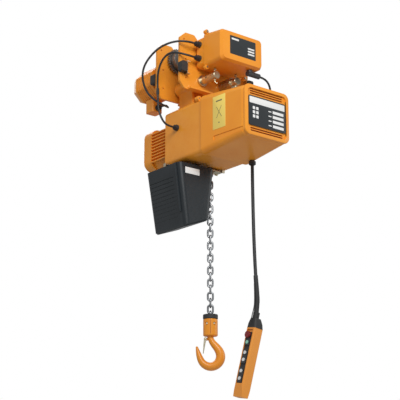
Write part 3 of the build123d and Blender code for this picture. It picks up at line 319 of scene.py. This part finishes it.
def surface_group():
    """Cloudy tone, fine grain for bump, and roughness that varies with the cloud."""
    name = "Surface grain"
    if name in bpy.data.node_groups:
        return bpy.data.node_groups[name]
    group, source, target = shader_group(name, [
        ("Colour", "NodeSocketColor", (1, 1, 1, 1)), ("Shade", "NodeSocketColor", (0, 0, 0, 1)),
        ("Cloud scale", "NodeSocketFloat", 9.0), ("Grain scale", "NodeSocketFloat", 700.0),
        ("Roughness low", "NodeSocketFloat", 0.3), ("Roughness high", "NodeSocketFloat", 0.45),
    ], [("Colour", "NodeSocketColor"), ("Roughness", "NodeSocketFloat"),
        ("Height", "NodeSocketFloat")])
    nodes, links = group.nodes, group.links
    place = nodes.new("ShaderNodeTexCoord")
    cloud = nodes.new("ShaderNodeTexNoise")
    cloud.inputs["Detail"].default_value = 4
    grain = nodes.new("ShaderNodeTexNoise")
    grain.inputs["Detail"].default_value = 2
    links.new(place.outputs["Object"], cloud.inputs["Vector"])
    links.new(place.outputs["Object"], grain.inputs["Vector"])
    links.new(source.outputs["Cloud scale"], cloud.inputs["Scale"])
    links.new(source.outputs["Grain scale"], grain.inputs["Scale"])
    mix = nodes.new("ShaderNodeMix")
    mix.data_type = "RGBA"
    links.new(cloud.outputs["Fac"], mix.inputs["Factor"])
    links.new(source.outputs["Colour"], mix.inputs["A"])
    links.new(source.outputs["Shade"], mix.inputs["B"])
    rough = nodes.new("ShaderNodeMapRange")
    rough.inputs["From Min"].default_value = 0.3
    rough.inputs["From Max"].default_value = 0.7
    links.new(cloud.outputs["Fac"], rough.inputs["Value"])
    links.new(source.outputs["Roughness low"], rough.inputs["To Min"])
    links.new(source.outputs["Roughness high"], rough.inputs["To Max"])
    links.new(mix.outputs["Result"], target.inputs["Colour"])
    links.new(rough.outputs["Result"], target.inputs["Roughness"])
    links.new(grain.outputs["Fac"], target.inputs["Height"])
    return group


def wear_group():
    """Rubbed edges and dust on faces that look up."""
    name = "Edge wear and dust"
    if name in bpy.data.node_groups:
        return bpy.data.node_groups[name]
    group, source, target = shader_group(name, [
        ("Colour", "NodeSocketColor", (1, 1, 1, 1)), ("Worn", "NodeSocketColor", (1, 1, 1, 1)),
        ("Wear", "NodeSocketFloat", 0.3), ("Dust", "NodeSocketFloat", 0.2)],
        [("Colour", "NodeSocketColor")])
    nodes, links = group.nodes, group.links
    geometry = nodes.new("ShaderNodeNewGeometry")
    place = nodes.new("ShaderNodeTexCoord")
    edge = nodes.new("ShaderNodeMapRange")
    edge.inputs["From Min"].default_value = 0.52
    edge.inputs["From Max"].default_value = 0.60
    links.new(geometry.outputs["Pointiness"], edge.inputs["Value"])
    patch = nodes.new("ShaderNodeTexNoise")
    patch.inputs["Scale"].default_value = 60
    links.new(place.outputs["Object"], patch.inputs["Vector"])
    broken = nodes.new("ShaderNodeMath")
    broken.operation = "MULTIPLY"
    links.new(edge.outputs["Result"], broken.inputs[0])
    links.new(patch.outputs["Fac"], broken.inputs[1])
    amount = nodes.new("ShaderNodeMath")
    amount.operation = "MULTIPLY"
    links.new(broken.outputs[0], amount.inputs[0])
    links.new(source.outputs["Wear"], amount.inputs[1])
    rubbed = nodes.new("ShaderNodeMix")
    rubbed.data_type = "RGBA"
    links.new(amount.outputs[0], rubbed.inputs["Factor"])
    links.new(source.outputs["Colour"], rubbed.inputs["A"])
    links.new(source.outputs["Worn"], rubbed.inputs["B"])
    split = nodes.new("ShaderNodeSeparateXYZ")
    links.new(geometry.outputs["Normal"], split.inputs[0])
    upward = nodes.new("ShaderNodeMapRange")
    upward.inputs["From Min"].default_value = 0.6
    upward.inputs["From Max"].default_value = 1.0
    links.new(split.outputs["Z"], upward.inputs["Value"])
    settled = nodes.new("ShaderNodeMath")
    settled.operation = "MULTIPLY"
    links.new(upward.outputs["Result"], settled.inputs[0])
    links.new(source.outputs["Dust"], settled.inputs[1])
    dusty = nodes.new("ShaderNodeMix")
    dusty.data_type = "RGBA"
    dusty.inputs["B"].default_value = (0.45, 0.42, 0.38, 1)
    links.new(settled.outputs[0], dusty.inputs["Factor"])
    links.new(rubbed.outputs["Result"], dusty.inputs["A"])
    links.new(dusty.outputs["Result"], target.inputs["Colour"])
    return group


def finish_material(name, base, shade, worn, rough=(0.3, 0.45), metallic=0.0, grain=700.0,
                    bump=0.05, wear=0.0, dust=0.1, cloud=9.0, coat=0.0):
    """A procedural finish built from the two shared groups."""
    if name in bpy.data.materials:
        return bpy.data.materials[name]
    material = bpy.data.materials.new(name)
    material.use_nodes = True
    nodes, links = material.node_tree.nodes, material.node_tree.links
    shader = nodes["Principled BSDF"]
    shader.inputs["Metallic"].default_value = metallic
    shader.inputs["Coat Weight"].default_value = coat
    shader.inputs["Coat Roughness"].default_value = 0.15
    surface = nodes.new("ShaderNodeGroup")
    surface.node_tree = surface_group()
    surface.inputs["Colour"].default_value = base
    surface.inputs["Shade"].default_value = shade
    surface.inputs["Cloud scale"].default_value = cloud
    surface.inputs["Grain scale"].default_value = grain
    surface.inputs["Roughness low"].default_value = rough[0]
    surface.inputs["Roughness high"].default_value = rough[1]
    edges = nodes.new("ShaderNodeGroup")
    edges.node_tree = wear_group()
    edges.inputs["Worn"].default_value = worn
    edges.inputs["Wear"].default_value = wear
    edges.inputs["Dust"].default_value = dust
    relief = nodes.new("ShaderNodeBump")
    relief.inputs["Strength"].default_value = bump
    relief.inputs["Distance"].default_value = 0.0006
    links.new(surface.outputs["Colour"], edges.inputs["Colour"])
    links.new(edges.outputs["Colour"], shader.inputs["Base Color"])
    links.new(surface.outputs["Roughness"], shader.inputs["Roughness"])
    links.new(surface.outputs["Height"], relief.inputs["Height"])
    links.new(relief.outputs["Normal"], shader.inputs["Normal"])
    return material


def darker(value, factor):
    return (value[0] * factor, value[1] * factor, value[2] * factor, 1)


def make_finishes():
    tone = bpy.context.scene.hoist_finishes
    size = bpy.context.scene.hoist_sizes
    wear, dust = size.wear, size.dust
    black = (0.016, 0.017, 0.018, 1)
    return {
        "yellow_paint": finish_material(
            "Orange enamel", tone.paint, tone.paint_shade, tone.primer, (0.30, 0.42),
            grain=420, bump=0.10, wear=wear, dust=dust, coat=0.1),
        "zinc_steel": finish_material(
            "Yellow zinc plate", tone.zinc, darker(tone.zinc, 0.75), (0.8, 0.8, 0.78, 1),
            (0.25, 0.42), 1.0, 900, 0.08, 0.5, dust, 30),
        "bearing_steel": finish_material(
            "Ground steel", (0.6, 0.6, 0.62, 1), (0.5, 0.5, 0.52, 1), (0.8, 0.8, 0.8, 1),
            (0.18, 0.3), 1.0, 1200, 0.04),
        "gear_steel": finish_material(
            "Oiled gear steel", (0.42, 0.41, 0.40, 1), (0.28, 0.27, 0.25, 1), (0.7, 0.7, 0.7, 1),
            (0.25, 0.4), 1.0, 800, 0.08, 0.6),
        "wheel_iron": finish_material(
            "Machined iron", (0.22, 0.21, 0.20, 1), (0.14, 0.13, 0.12, 1), (0.5, 0.5, 0.5, 1),
            (0.35, 0.55), 0.9, 500, 0.2, 0.7, dust),
        "chain_steel": finish_material(
            "Galvanised chain", tone.chain, darker(tone.chain, 0.5), (0.85, 0.86, 0.87, 1),
            (0.20, 0.36), 1.0, 1100, 0.12, 0.5, 0.05, 70),
        "black_rubber": finish_material(
            "Black rubber", black, (0.03, 0.03, 0.031, 1), (0.08, 0.08, 0.08, 1),
            (0.55, 0.7), 0, 900, 0.3, 0.4, dust),
        "cable_sheath": finish_material(
            "Cable sheath", black, (0.028, 0.029, 0.031, 1), (0.07, 0.07, 0.07, 1),
            (0.38, 0.52), 0, 1500, 0.15, 0.2, 0.08),
        "dark_plastic": finish_material(
            "Dark moulded plastic", (0.018, 0.019, 0.021, 1), (0.03, 0.031, 0.034, 1),
            (0.1, 0.1, 0.1, 1), (0.35, 0.5), 0, 800, 0.15, 0.3, 0.1),
        "windings": finish_material(
            "Varnished windings", (0.30, 0.12, 0.04, 1), (0.2, 0.07, 0.02, 1),
            (0.5, 0.3, 0.1, 1), (0.3, 0.5), 0.3, 600, 0.4),
        "container_plastic": finish_material(
            "Slate container", tone.container, darker(tone.container, 0.7),
            darker(tone.container, 3), (0.30, 0.44), 0, 520, 0.18, 0.35, 0.15),
        "orange_plastic": finish_material(
            "Orange handset plastic", tone.handset, darker(tone.handset, 0.88),
            tone.primer, (0.34, 0.46), 0, 640, 0.10, 0.2, 0.05),
        "red_plastic": finish_material(
            "Dark red plastic", (0.25, 0.012, 0.016, 1), (0.18, 0.01, 0.012, 1),
            (0.5, 0.1, 0.1, 1), (0.25, 0.35), 0, 700, 0.05, 0.1),
        "green_plastic": finish_material(
            "Mint plastic", (0.32, 0.68, 0.52, 1), (0.26, 0.60, 0.46, 1), (0.6, 0.8, 0.7, 1),
            (0.25, 0.35), 0, 700, 0.05),
        "white_plastic": finish_material(
            "White plastic", (0.80, 0.81, 0.80, 1), (0.72, 0.73, 0.72, 1), (0.9, 0.9, 0.9, 1),
            (0.25, 0.35), 0, 700, 0.05),
        "label_film": finish_material(
            "Dark label film", tone.label_dark, darker(tone.label_dark, 0.8),
            (0.1, 0.1, 0.1, 1), (0.30, 0.40), 0, 900, 0.04),
        "label_white": finish_material(
            "White label film", tone.label_white, darker(tone.label_white, 0.96),
            (0.9, 0.9, 0.9, 1), (0.34, 0.42), 0, 900, 0.03),
        "label_yellow": finish_material(
            "Yellow label film", tone.label_yellow, darker(tone.label_yellow, 0.95),
            (0.9, 0.8, 0.4, 1), (0.34, 0.42), 0, 900, 0.03),
        "louvre_red": finish_material(
            "Shaded enamel", (0.30, 0.045, 0.004, 1), (0.22, 0.030, 0.003, 1),
            (0.4, 0.1, 0.02, 1), (0.5, 0.6), 0, 500, 0.1),
        "label_ink": finish_material(
            "Grey ink", (0.12, 0.11, 0.07, 1), (0.16, 0.15, 0.10, 1), (0.2, 0.2, 0.2, 1),
            (0.4, 0.5), 0, 900, 0.03),
    }


FINISHES = {}


# ---- operators ---------------------------------------------------------------------
class HOIST_OT_finishes(bpy.types.Operator):
    """Give every solid of the hoist its procedural finish"""
    bl_idname = "hoist.finishes"
    bl_label = "Finishes"

    def execute(self, context):
        FINISHES.update(make_finishes())
        slots = {entry["node"]: entry["material_slot"] for entry in frame["record"]["subparts"]}
        for name, node in frame["nodes"].items():
            material = FINISHES[slots[name]]
            for entry in node.material_slots:
                entry.material = material
        return {"FINISHED"}


class HOIST_OT_cords(bpy.types.Operator):
    """Run the three link cables and the pendant cable"""
    bl_idname = "hoist.cords"
    bl_label = "Cables"

    def execute(self, context):
        size = context.scene.hoist_sizes
        runs = [("travel_cable_run", "travel_motor_cable", TRAVEL_CABLE, size.cable),
                ("power_cable_run", "hoist_power_cable", POWER_CABLE, size.cable),
                ("control_cable_run", "control_cable", CONTROL_CABLE, size.cable),
                ("pendant_cable_run", "pendant_cable", PENDANT_CABLE, size.pendant_cable)]
        for name, node, points, diameter in runs:
            piece = tube(name, points, diameter / 2)
            paint(piece, FINISHES["cable_sheath"], "cable_sheath")
            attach(piece, "hoist_frame")
            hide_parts(node)
            round(spline_length(piece), 3)
        return {"FINISHED"}


class HOIST_OT_cable_trim(bpy.types.Operator):
    """Wrap the pendant cable's lower end and tie the link cable"""
    bl_idname = "hoist.cable_trim"
    bl_label = "Cable trim"

    def execute(self, context):
        points = [Vector((0.1219, -0.2388, -1.046)), along_pendant(0.138),
                  along_pendant(0.106), along_pendant(0.070)]
        sleeve = to_mesh(tube("cable_sleeve", points, 0.0118, [0.86, 1.0, 0.95, 1.0]))
        wire_foot = along_pendant(0.020) - 0.020 * ACROSS - 0.016 * AWAY
        wire = to_mesh(tube("strain_wire", [
            wire_foot, along_pendant(0.050) - 0.021 * ACROSS - 0.014 * AWAY,
            along_pendant(0.085) - 0.014 * ACROSS - 0.010 * AWAY,
            along_pendant(0.125) - 0.011 * ACROSS - 0.007 * AWAY,
            Vector((0.1230, -0.2420, -1.085)) - 0.010 * ACROSS - 0.006 * AWAY], 0.0022))
        tie = to_mesh(tube("cable_tie", [
            (-0.2395, 0.042, -0.132), (-0.2388, 0.0421, -0.142), (-0.2390, 0.0418, -0.152),
            (-0.2394, 0.0415, -0.162)], 0.0078, [0.9, 1, 1, 0.9]))
        for piece in (sleeve, wire, tie):
            smooth(piece, 40)
            paint(piece, FINISHES["black_rubber"], "black_rubber")
            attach(piece, "hoist_frame")
        return {"FINISHED"}


class HOIST_OT_chain(bpy.types.Operator):
    """Hang the upper load chain, link by link, from one forged link"""
    bl_idname = "hoist.chain"
    bl_label = "Upper load chain"

    def execute(self, context):
        low, high = node_box("chain_upper")
        half = (LINK_PITCH + LINK_WIRE) / 2
        arc = LINK_HALF_WIDTH
        side = [(arc, 0, -0.008), (arc, 0, 0.008), (arc * 0.8, 0, half * 0.86),
                (0, 0, half), (-arc * 0.8, 0, half * 0.86), (-arc, 0, 0.008),
                (-arc, 0, -0.008), (-arc * 0.8, 0, -half * 0.86), (0, 0, -half),
                (arc * 0.8, 0, -half * 0.86)]
        curve = tube("link", side, LINK_WIRE / 2)
        curve.data.splines[0].use_endpoint_u = False
        curve.data.splines[0].use_cyclic_u = True
        curve.data.bevel_resolution = 3
        curve.data.resolution_u = 4
        link = to_mesh(curve)
        smooth(link, 60)
        count = int((high[2] - low[2] - LINK_WIRE) / LINK_PITCH)
        links = [link]
        for index in range(1, count):
            clear_selection()
            link.select_set(True)
            context.view_layer.objects.active = link
            bpy.ops.object.duplicate()
            other = context.object
            other.rotation_euler = (0, 0, math.radians(90) * (index % 2))
            other.location = (0, 0, -index * LINK_PITCH)
            bake_place(other)
            links.append(other)
        chain = join("load_chain_run", links)
        chain.rotation_euler = (0, 0, -PLATE_TURN)
        chain.location = ((low[0] + high[0]) / 2, (low[1] + high[1]) / 2, high[2] - half)
        bake_place(chain)
        paint(chain, FINISHES["chain_steel"], "chain_steel")
        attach(chain, "hoist_frame")
        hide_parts("chain_upper")
        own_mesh(chain)
        return {"FINISHED"}


class HOIST_OT_hook(bpy.types.Operator):
    """Forge the load hook as one flowing bar"""
    bl_idname = "hoist.hook"
    bl_label = "Load hook"

    def execute(self, context):
        clear_selection()
        bpy.ops.curve.primitive_bezier_circle_add(radius=1)
        section = context.object
        for point, (x, y) in zip(section.data.splines[0].bezier_points,
                                 [(-0.0205, 0), (0, 0.0165), (0.0215, 0), (0, -0.0165)]):
            point.co = (x, y, 0)
            reach = 0.0108
            along = Vector((0, reach, 0)) if y == 0 else Vector((reach * 1.1, 0, 0))
            sign = 1 if (x < 0 or y > 0) else -1
            point.handle_left = point.co - sign * along
            point.handle_right = point.co + sign * along
        section.data.resolution_u = 6
        places = [in_hook_plane(u, 0, z) for u, z, _ in HOOK_LINE]
        body = tube("hook_forging", places, 0.001, [scale for _, _, scale in HOOK_LINE])
        body.data.bevel_mode = "OBJECT"
        body.data.bevel_object = section
        body.data.twist_mode = "MINIMUM"
        body.data.splines[0].order_u = 4
        body = to_mesh(body)
        bpy.data.objects.remove(section)
        clear_selection()
        context.view_layer.objects.active = body
        body.select_set(True)
        bpy.ops.object.mode_set(mode="EDIT")
        bpy.ops.mesh.select_all(action="SELECT")
        bpy.ops.mesh.remove_doubles(threshold=0.00005)
        bpy.ops.mesh.normals_make_consistent(inside=False)
        bpy.ops.object.mode_set(mode="OBJECT")
        bpy.ops.mesh.primitive_cylinder_add(vertices=48, radius=0.0148, depth=0.012,
                                            location=(CHAIN_X, 0, -1.3045))
        collar = context.object
        bake_place(collar)
        apply_modifier(collar, "BEVEL", width=0.002, segments=3)
        middle = in_hook_plane(-0.016, 0, -1.317)
        bpy.ops.mesh.primitive_cube_add(size=1, location=middle, scale=(0.026, 0.011, 0.013),
                                        rotation=(0, 0, -PLATE_TURN))
        lug = context.object
        bake_place(lug)
        apply_modifier(lug, "BEVEL", width=0.004, segments=4)
        bpy.ops.mesh.primitive_cylinder_add(
            vertices=32, radius=0.0032, depth=0.026, location=in_hook_plane(-0.024, 0, -1.317),
            rotation=(math.radians(90), 0, -PLATE_TURN))
        pin = context.object
        bake_place(pin)
        apply_modifier(pin, "BEVEL", width=0.0008, segments=2)
        hook = join("load_hook_body", [body, collar, lug])
        smooth(hook, 40)
        smooth(pin, 40)
        pin.name = "latch_rivet"
        paint(hook, FINISHES["yellow_paint"], "yellow_paint")
        paint(pin, FINISHES["zinc_steel"], "zinc_steel")
        for piece in (hook, pin):
            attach(piece, "swivel_hook")
        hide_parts("hook")
        return {"FINISHED"}


class HOIST_OT_plates(bpy.types.Operator):
    """Fit the blank name plates and labels"""
    bl_idname = "hoist.plates"
    bl_label = "Plates and labels"

    def execute(self, context):
        film = context.scene.hoist_sizes.label_film
        front = COVER_FRONT_Y + 0.002
        dark = [plate("plate_front", (0, front, -0.355), 0.224, 0.142, 0.003, 0.010),
                plate("plate_trolley", (0.002, -0.3042, 0.025), 0.160, 0.094, 0.002, 0.004)]
        white = [plate("band", (0, front - 0.0026, -0.3055), 0.212, 0.030, film, 0.003)]
        for index in range(4):
            z = -0.340 - 0.0225 * index
            white.append(plate("bar", (0.066, front - 0.0026, z), 0.066, 0.0135, film, 0.001))
            white.append(plate("tick", (0.016, front - 0.0026, z), 0.018, 0.005, film, 0.001))
        for row in range(3):
            for column in range(2):
                white.append(plate("mark", (-0.080 + 0.020 * column, front - 0.0026,
                                            -0.342 - 0.020 * row), 0.014, 0.014, film, 0.002))
        for index in range(3):
            white.append(plate("line", (0.052, -0.3066, 0.030 - 0.014 * index),
                               0.040, 0.008, film, 0.001))
        white.append(plate("line", (-0.046, -0.3066, 0.056), 0.044, 0.009, film, 0.001))
        white.append(plate("bin_label", (-0.110, BIN_FACE_Y, -0.5475), 0.085, 0.030, film, 0.002))
        plates = join("rating_plates", dark)
        paint(plates, FINISHES["label_film"], "label_film")
        blanks = join("plate_blanks", white)
        paint(blanks, FINISHES["label_white"], "label_film")
        turn = math.atan2(COVER_REAR_X - COVER_FRONT_X, COVER_SEAM_Y - COVER_FRONT_Y)
        spot = Vector((-cover_side_x(SIDE_LABEL_Y) - 0.0002, SIDE_LABEL_Y, SIDE_LABEL_Z))
        side = plate("side_label", spot, 0.084, 0.160, film, 0.003,
                     (0, 0, math.radians(-90) + turn))
        paint(side, FINISHES["label_yellow"], "label_film")
        ink = []
        for lean in (-1, 1):
            bar = plate("ink", (0, 0, 0), 0.0022, 0.064, 0.0004, 0.0004)
            bar.rotation_euler = (0, lean * math.radians(32), 0)
            bake_place(bar)
            ink.append(bar)
        ink.append(plate("ink", (0, 0, 0.054), 0.040, 0.006, 0.0004, 0.001))
        ink.append(plate("ink", (0, 0, -0.052), 0.006, 0.006, 0.0004, 0.001))
        drawing = join("side_label_ink", ink)
        drawing.rotation_euler = (0, 0, math.radians(-90) + turn)
        drawing.location = spot + Vector((-film, 0, 0))
        bake_place(drawing)
        paint(drawing, FINISHES["label_ink"], "label_film")
        for piece in (plates, blanks, side, drawing):
            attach(piece, "hoist_frame")
        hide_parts("name_plates")
        return {"FINISHED"}


class HOIST_OT_trim(bpy.types.Operator):
    """Add the front rim, the painted louvre shadows and the yoke's seam as a strip of painted
    shade
    """
    bl_idname = "hoist.trim"
    bl_label = "Trim"

    def execute(self, context):
        wide = context.scene.hoist_sizes.rim
        size = FRONT_RIM
        rim = plate("front_rim", (0, COVER_FRONT_Y + 0.012, size["middle"]),
                    size["width"], size["height"], size["depth"], size["corner"])
        hole = plate("front_rim_hole", (0, COVER_FRONT_Y + 0.03, size["middle"]),
                     size["width"] - 2 * wide, size["height"] - 2 * wide, 0.06,
                     size["hole_corner"])
        apply_modifier(rim, "BOOLEAN", operation="DIFFERENCE", object=hole, solver="EXACT")
        bpy.data.objects.remove(hole)
        apply_modifier(rim, "BEVEL", width=0.005, segments=4, limit_method="ANGLE",
                       angle_limit=math.radians(50))
        smooth(rim, 40)
        paint(rim, FINISHES["yellow_paint"], "yellow_paint")
        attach(rim, "hoist_frame")
        strips = [plate("louvre", (0, COVER_FRONT_Y + 0.0118, z), 0.192, 0.006, 0.0006, 0.0028)
                  for z in LOUVRE_HEIGHTS]
        louvres = join("louvre_shadows", strips)
        paint(louvres, FINISHES["louvre_red"], "yellow_paint")
        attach(louvres, "hoist_frame")
        # The seam where the yoke's halves meet is real; its dark strip in the shaded enamel tone
        # is painted shade in that groove.
        seam = slab("yoke_seam_shade", (-0.0009, -0.0348, -1.296), (0.0009, -0.0325, -1.232), 0.0004, 2)
        seam.rotation_euler = (0, 0, -PLATE_TURN)
        seam.location = (CHAIN_X, 0, 0)
        bake_place(seam)
        paint(seam, FINISHES["louvre_red"], "yellow_paint")
        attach(seam, "hook_block")
        return {"FINISHED"}


class HOIST_OT_stage(bpy.types.Operator):
    """Set the floor, the soft lights and the camera"""
    bl_idname = "hoist.stage"
    bl_label = "Stage"

    def execute(self, context):
        clear_selection()
        bpy.ops.mesh.primitive_plane_add(size=30, location=(0, 0, FLOOR_Z))
        floor = context.object
        floor.name = "studio_floor"
        ground = bpy.data.materials.new("Pale floor")
        ground.use_nodes = True
        floor_shader = ground.node_tree.nodes["Principled BSDF"]
        floor_shader.inputs["Base Color"].default_value = FLOOR_TONE
        floor_shader.inputs["Roughness"].default_value = 0.8
        floor.data.materials.append(ground)
        world = bpy.data.worlds.new("Studio")
        world.use_nodes = True
        sky = world.node_tree
        sky.nodes["Background"].inputs["Color"].default_value = (1, 1, 1, 1)
        eye = sky.nodes.new("ShaderNodeLightPath")
        level = sky.nodes.new("ShaderNodeMapRange")
        level.inputs["To Min"].default_value = SKY_ON_OBJECTS
        level.inputs["To Max"].default_value = SKY_SEEN
        sky.links.new(eye.outputs["Is Camera Ray"], level.inputs["Value"])
        sky.links.new(level.outputs["Result"], sky.nodes["Background"].inputs["Strength"])
        context.scene.world = world
        context.scene.view_settings.view_transform = "Standard"
        middle = Vector((0, 0, -0.65))
        for name, place, wide, power in LAMPS:
            light = bpy.data.lights.new(name, "AREA")
            light.energy = power
            light.size = wide
            lamp = bpy.data.objects.new(name, light)
            context.scene.collection.objects.link(lamp)
            lamp.location = place
            lamp.rotation_euler = (middle - Vector(place)).to_track_quat("-Z", "Y").to_euler()
        lens = bpy.data.cameras.new("camera")
        lens.lens = CAMERA_LENS
        lens.sensor_width = CAMERA_SENSOR
        lens.clip_end = 100
        camera = bpy.data.objects.new("camera", lens)
        context.scene.collection.objects.link(camera)
        camera.location = CAMERA_PLACE
        camera.rotation_euler = Vector(CAMERA_AIM).to_track_quat("-Z", "Y").to_euler()
        context.scene.camera = camera
        return {"FINISHED"}


class HOIST_PT_panel(bpy.types.Panel):
    """Buttons and settings for the hoist"""
    bl_idname = "HOIST_PT_panel"
    bl_label = "Chain hoist"
    bl_space_type = "VIEW_3D"
    bl_region_type = "UI"
    bl_category = "Hoist"

    def draw(self, context):
        layout = self.layout
        for settings in (context.scene.hoist_finishes, context.scene.hoist_sizes):
            column = layout.column()
            for name in settings.__annotations__:
                column.prop(settings, name)
        for operator in OPERATORS:
            layout.operator(operator.bl_idname)


OPERATORS = (HOIST_OT_finishes, HOIST_OT_cords, HOIST_OT_cable_trim, HOIST_OT_chain,
             HOIST_OT_hook, HOIST_OT_plates, HOIST_OT_trim, HOIST_OT_stage)
CLASSES = (HoistFinishes, HoistSizes, *OPERATORS, HOIST_PT_panel)


def register():
    for item in CLASSES:
        bpy.utils.register_class(item)
    bpy.types.Scene.hoist_finishes = bpy.props.PointerProperty(type=HoistFinishes)
    bpy.types.Scene.hoist_sizes = bpy.props.PointerProperty(type=HoistSizes)


def unregister():
    del bpy.types.Scene.hoist_sizes
    del bpy.types.Scene.hoist_finishes
    for item in reversed(CLASSES):
        bpy.utils.unregister_class(item)


def main():
    register()
    bpy.ops.hoist.finishes()
    bpy.ops.hoist.stage()
    bpy.ops.hoist.cords()
    bpy.ops.hoist.cable_trim()
    bpy.ops.hoist.chain()
    bpy.ops.hoist.hook()
    bpy.ops.hoist.plates()
    bpy.ops.hoist.trim()


if __name__ == "__main__":
    main()
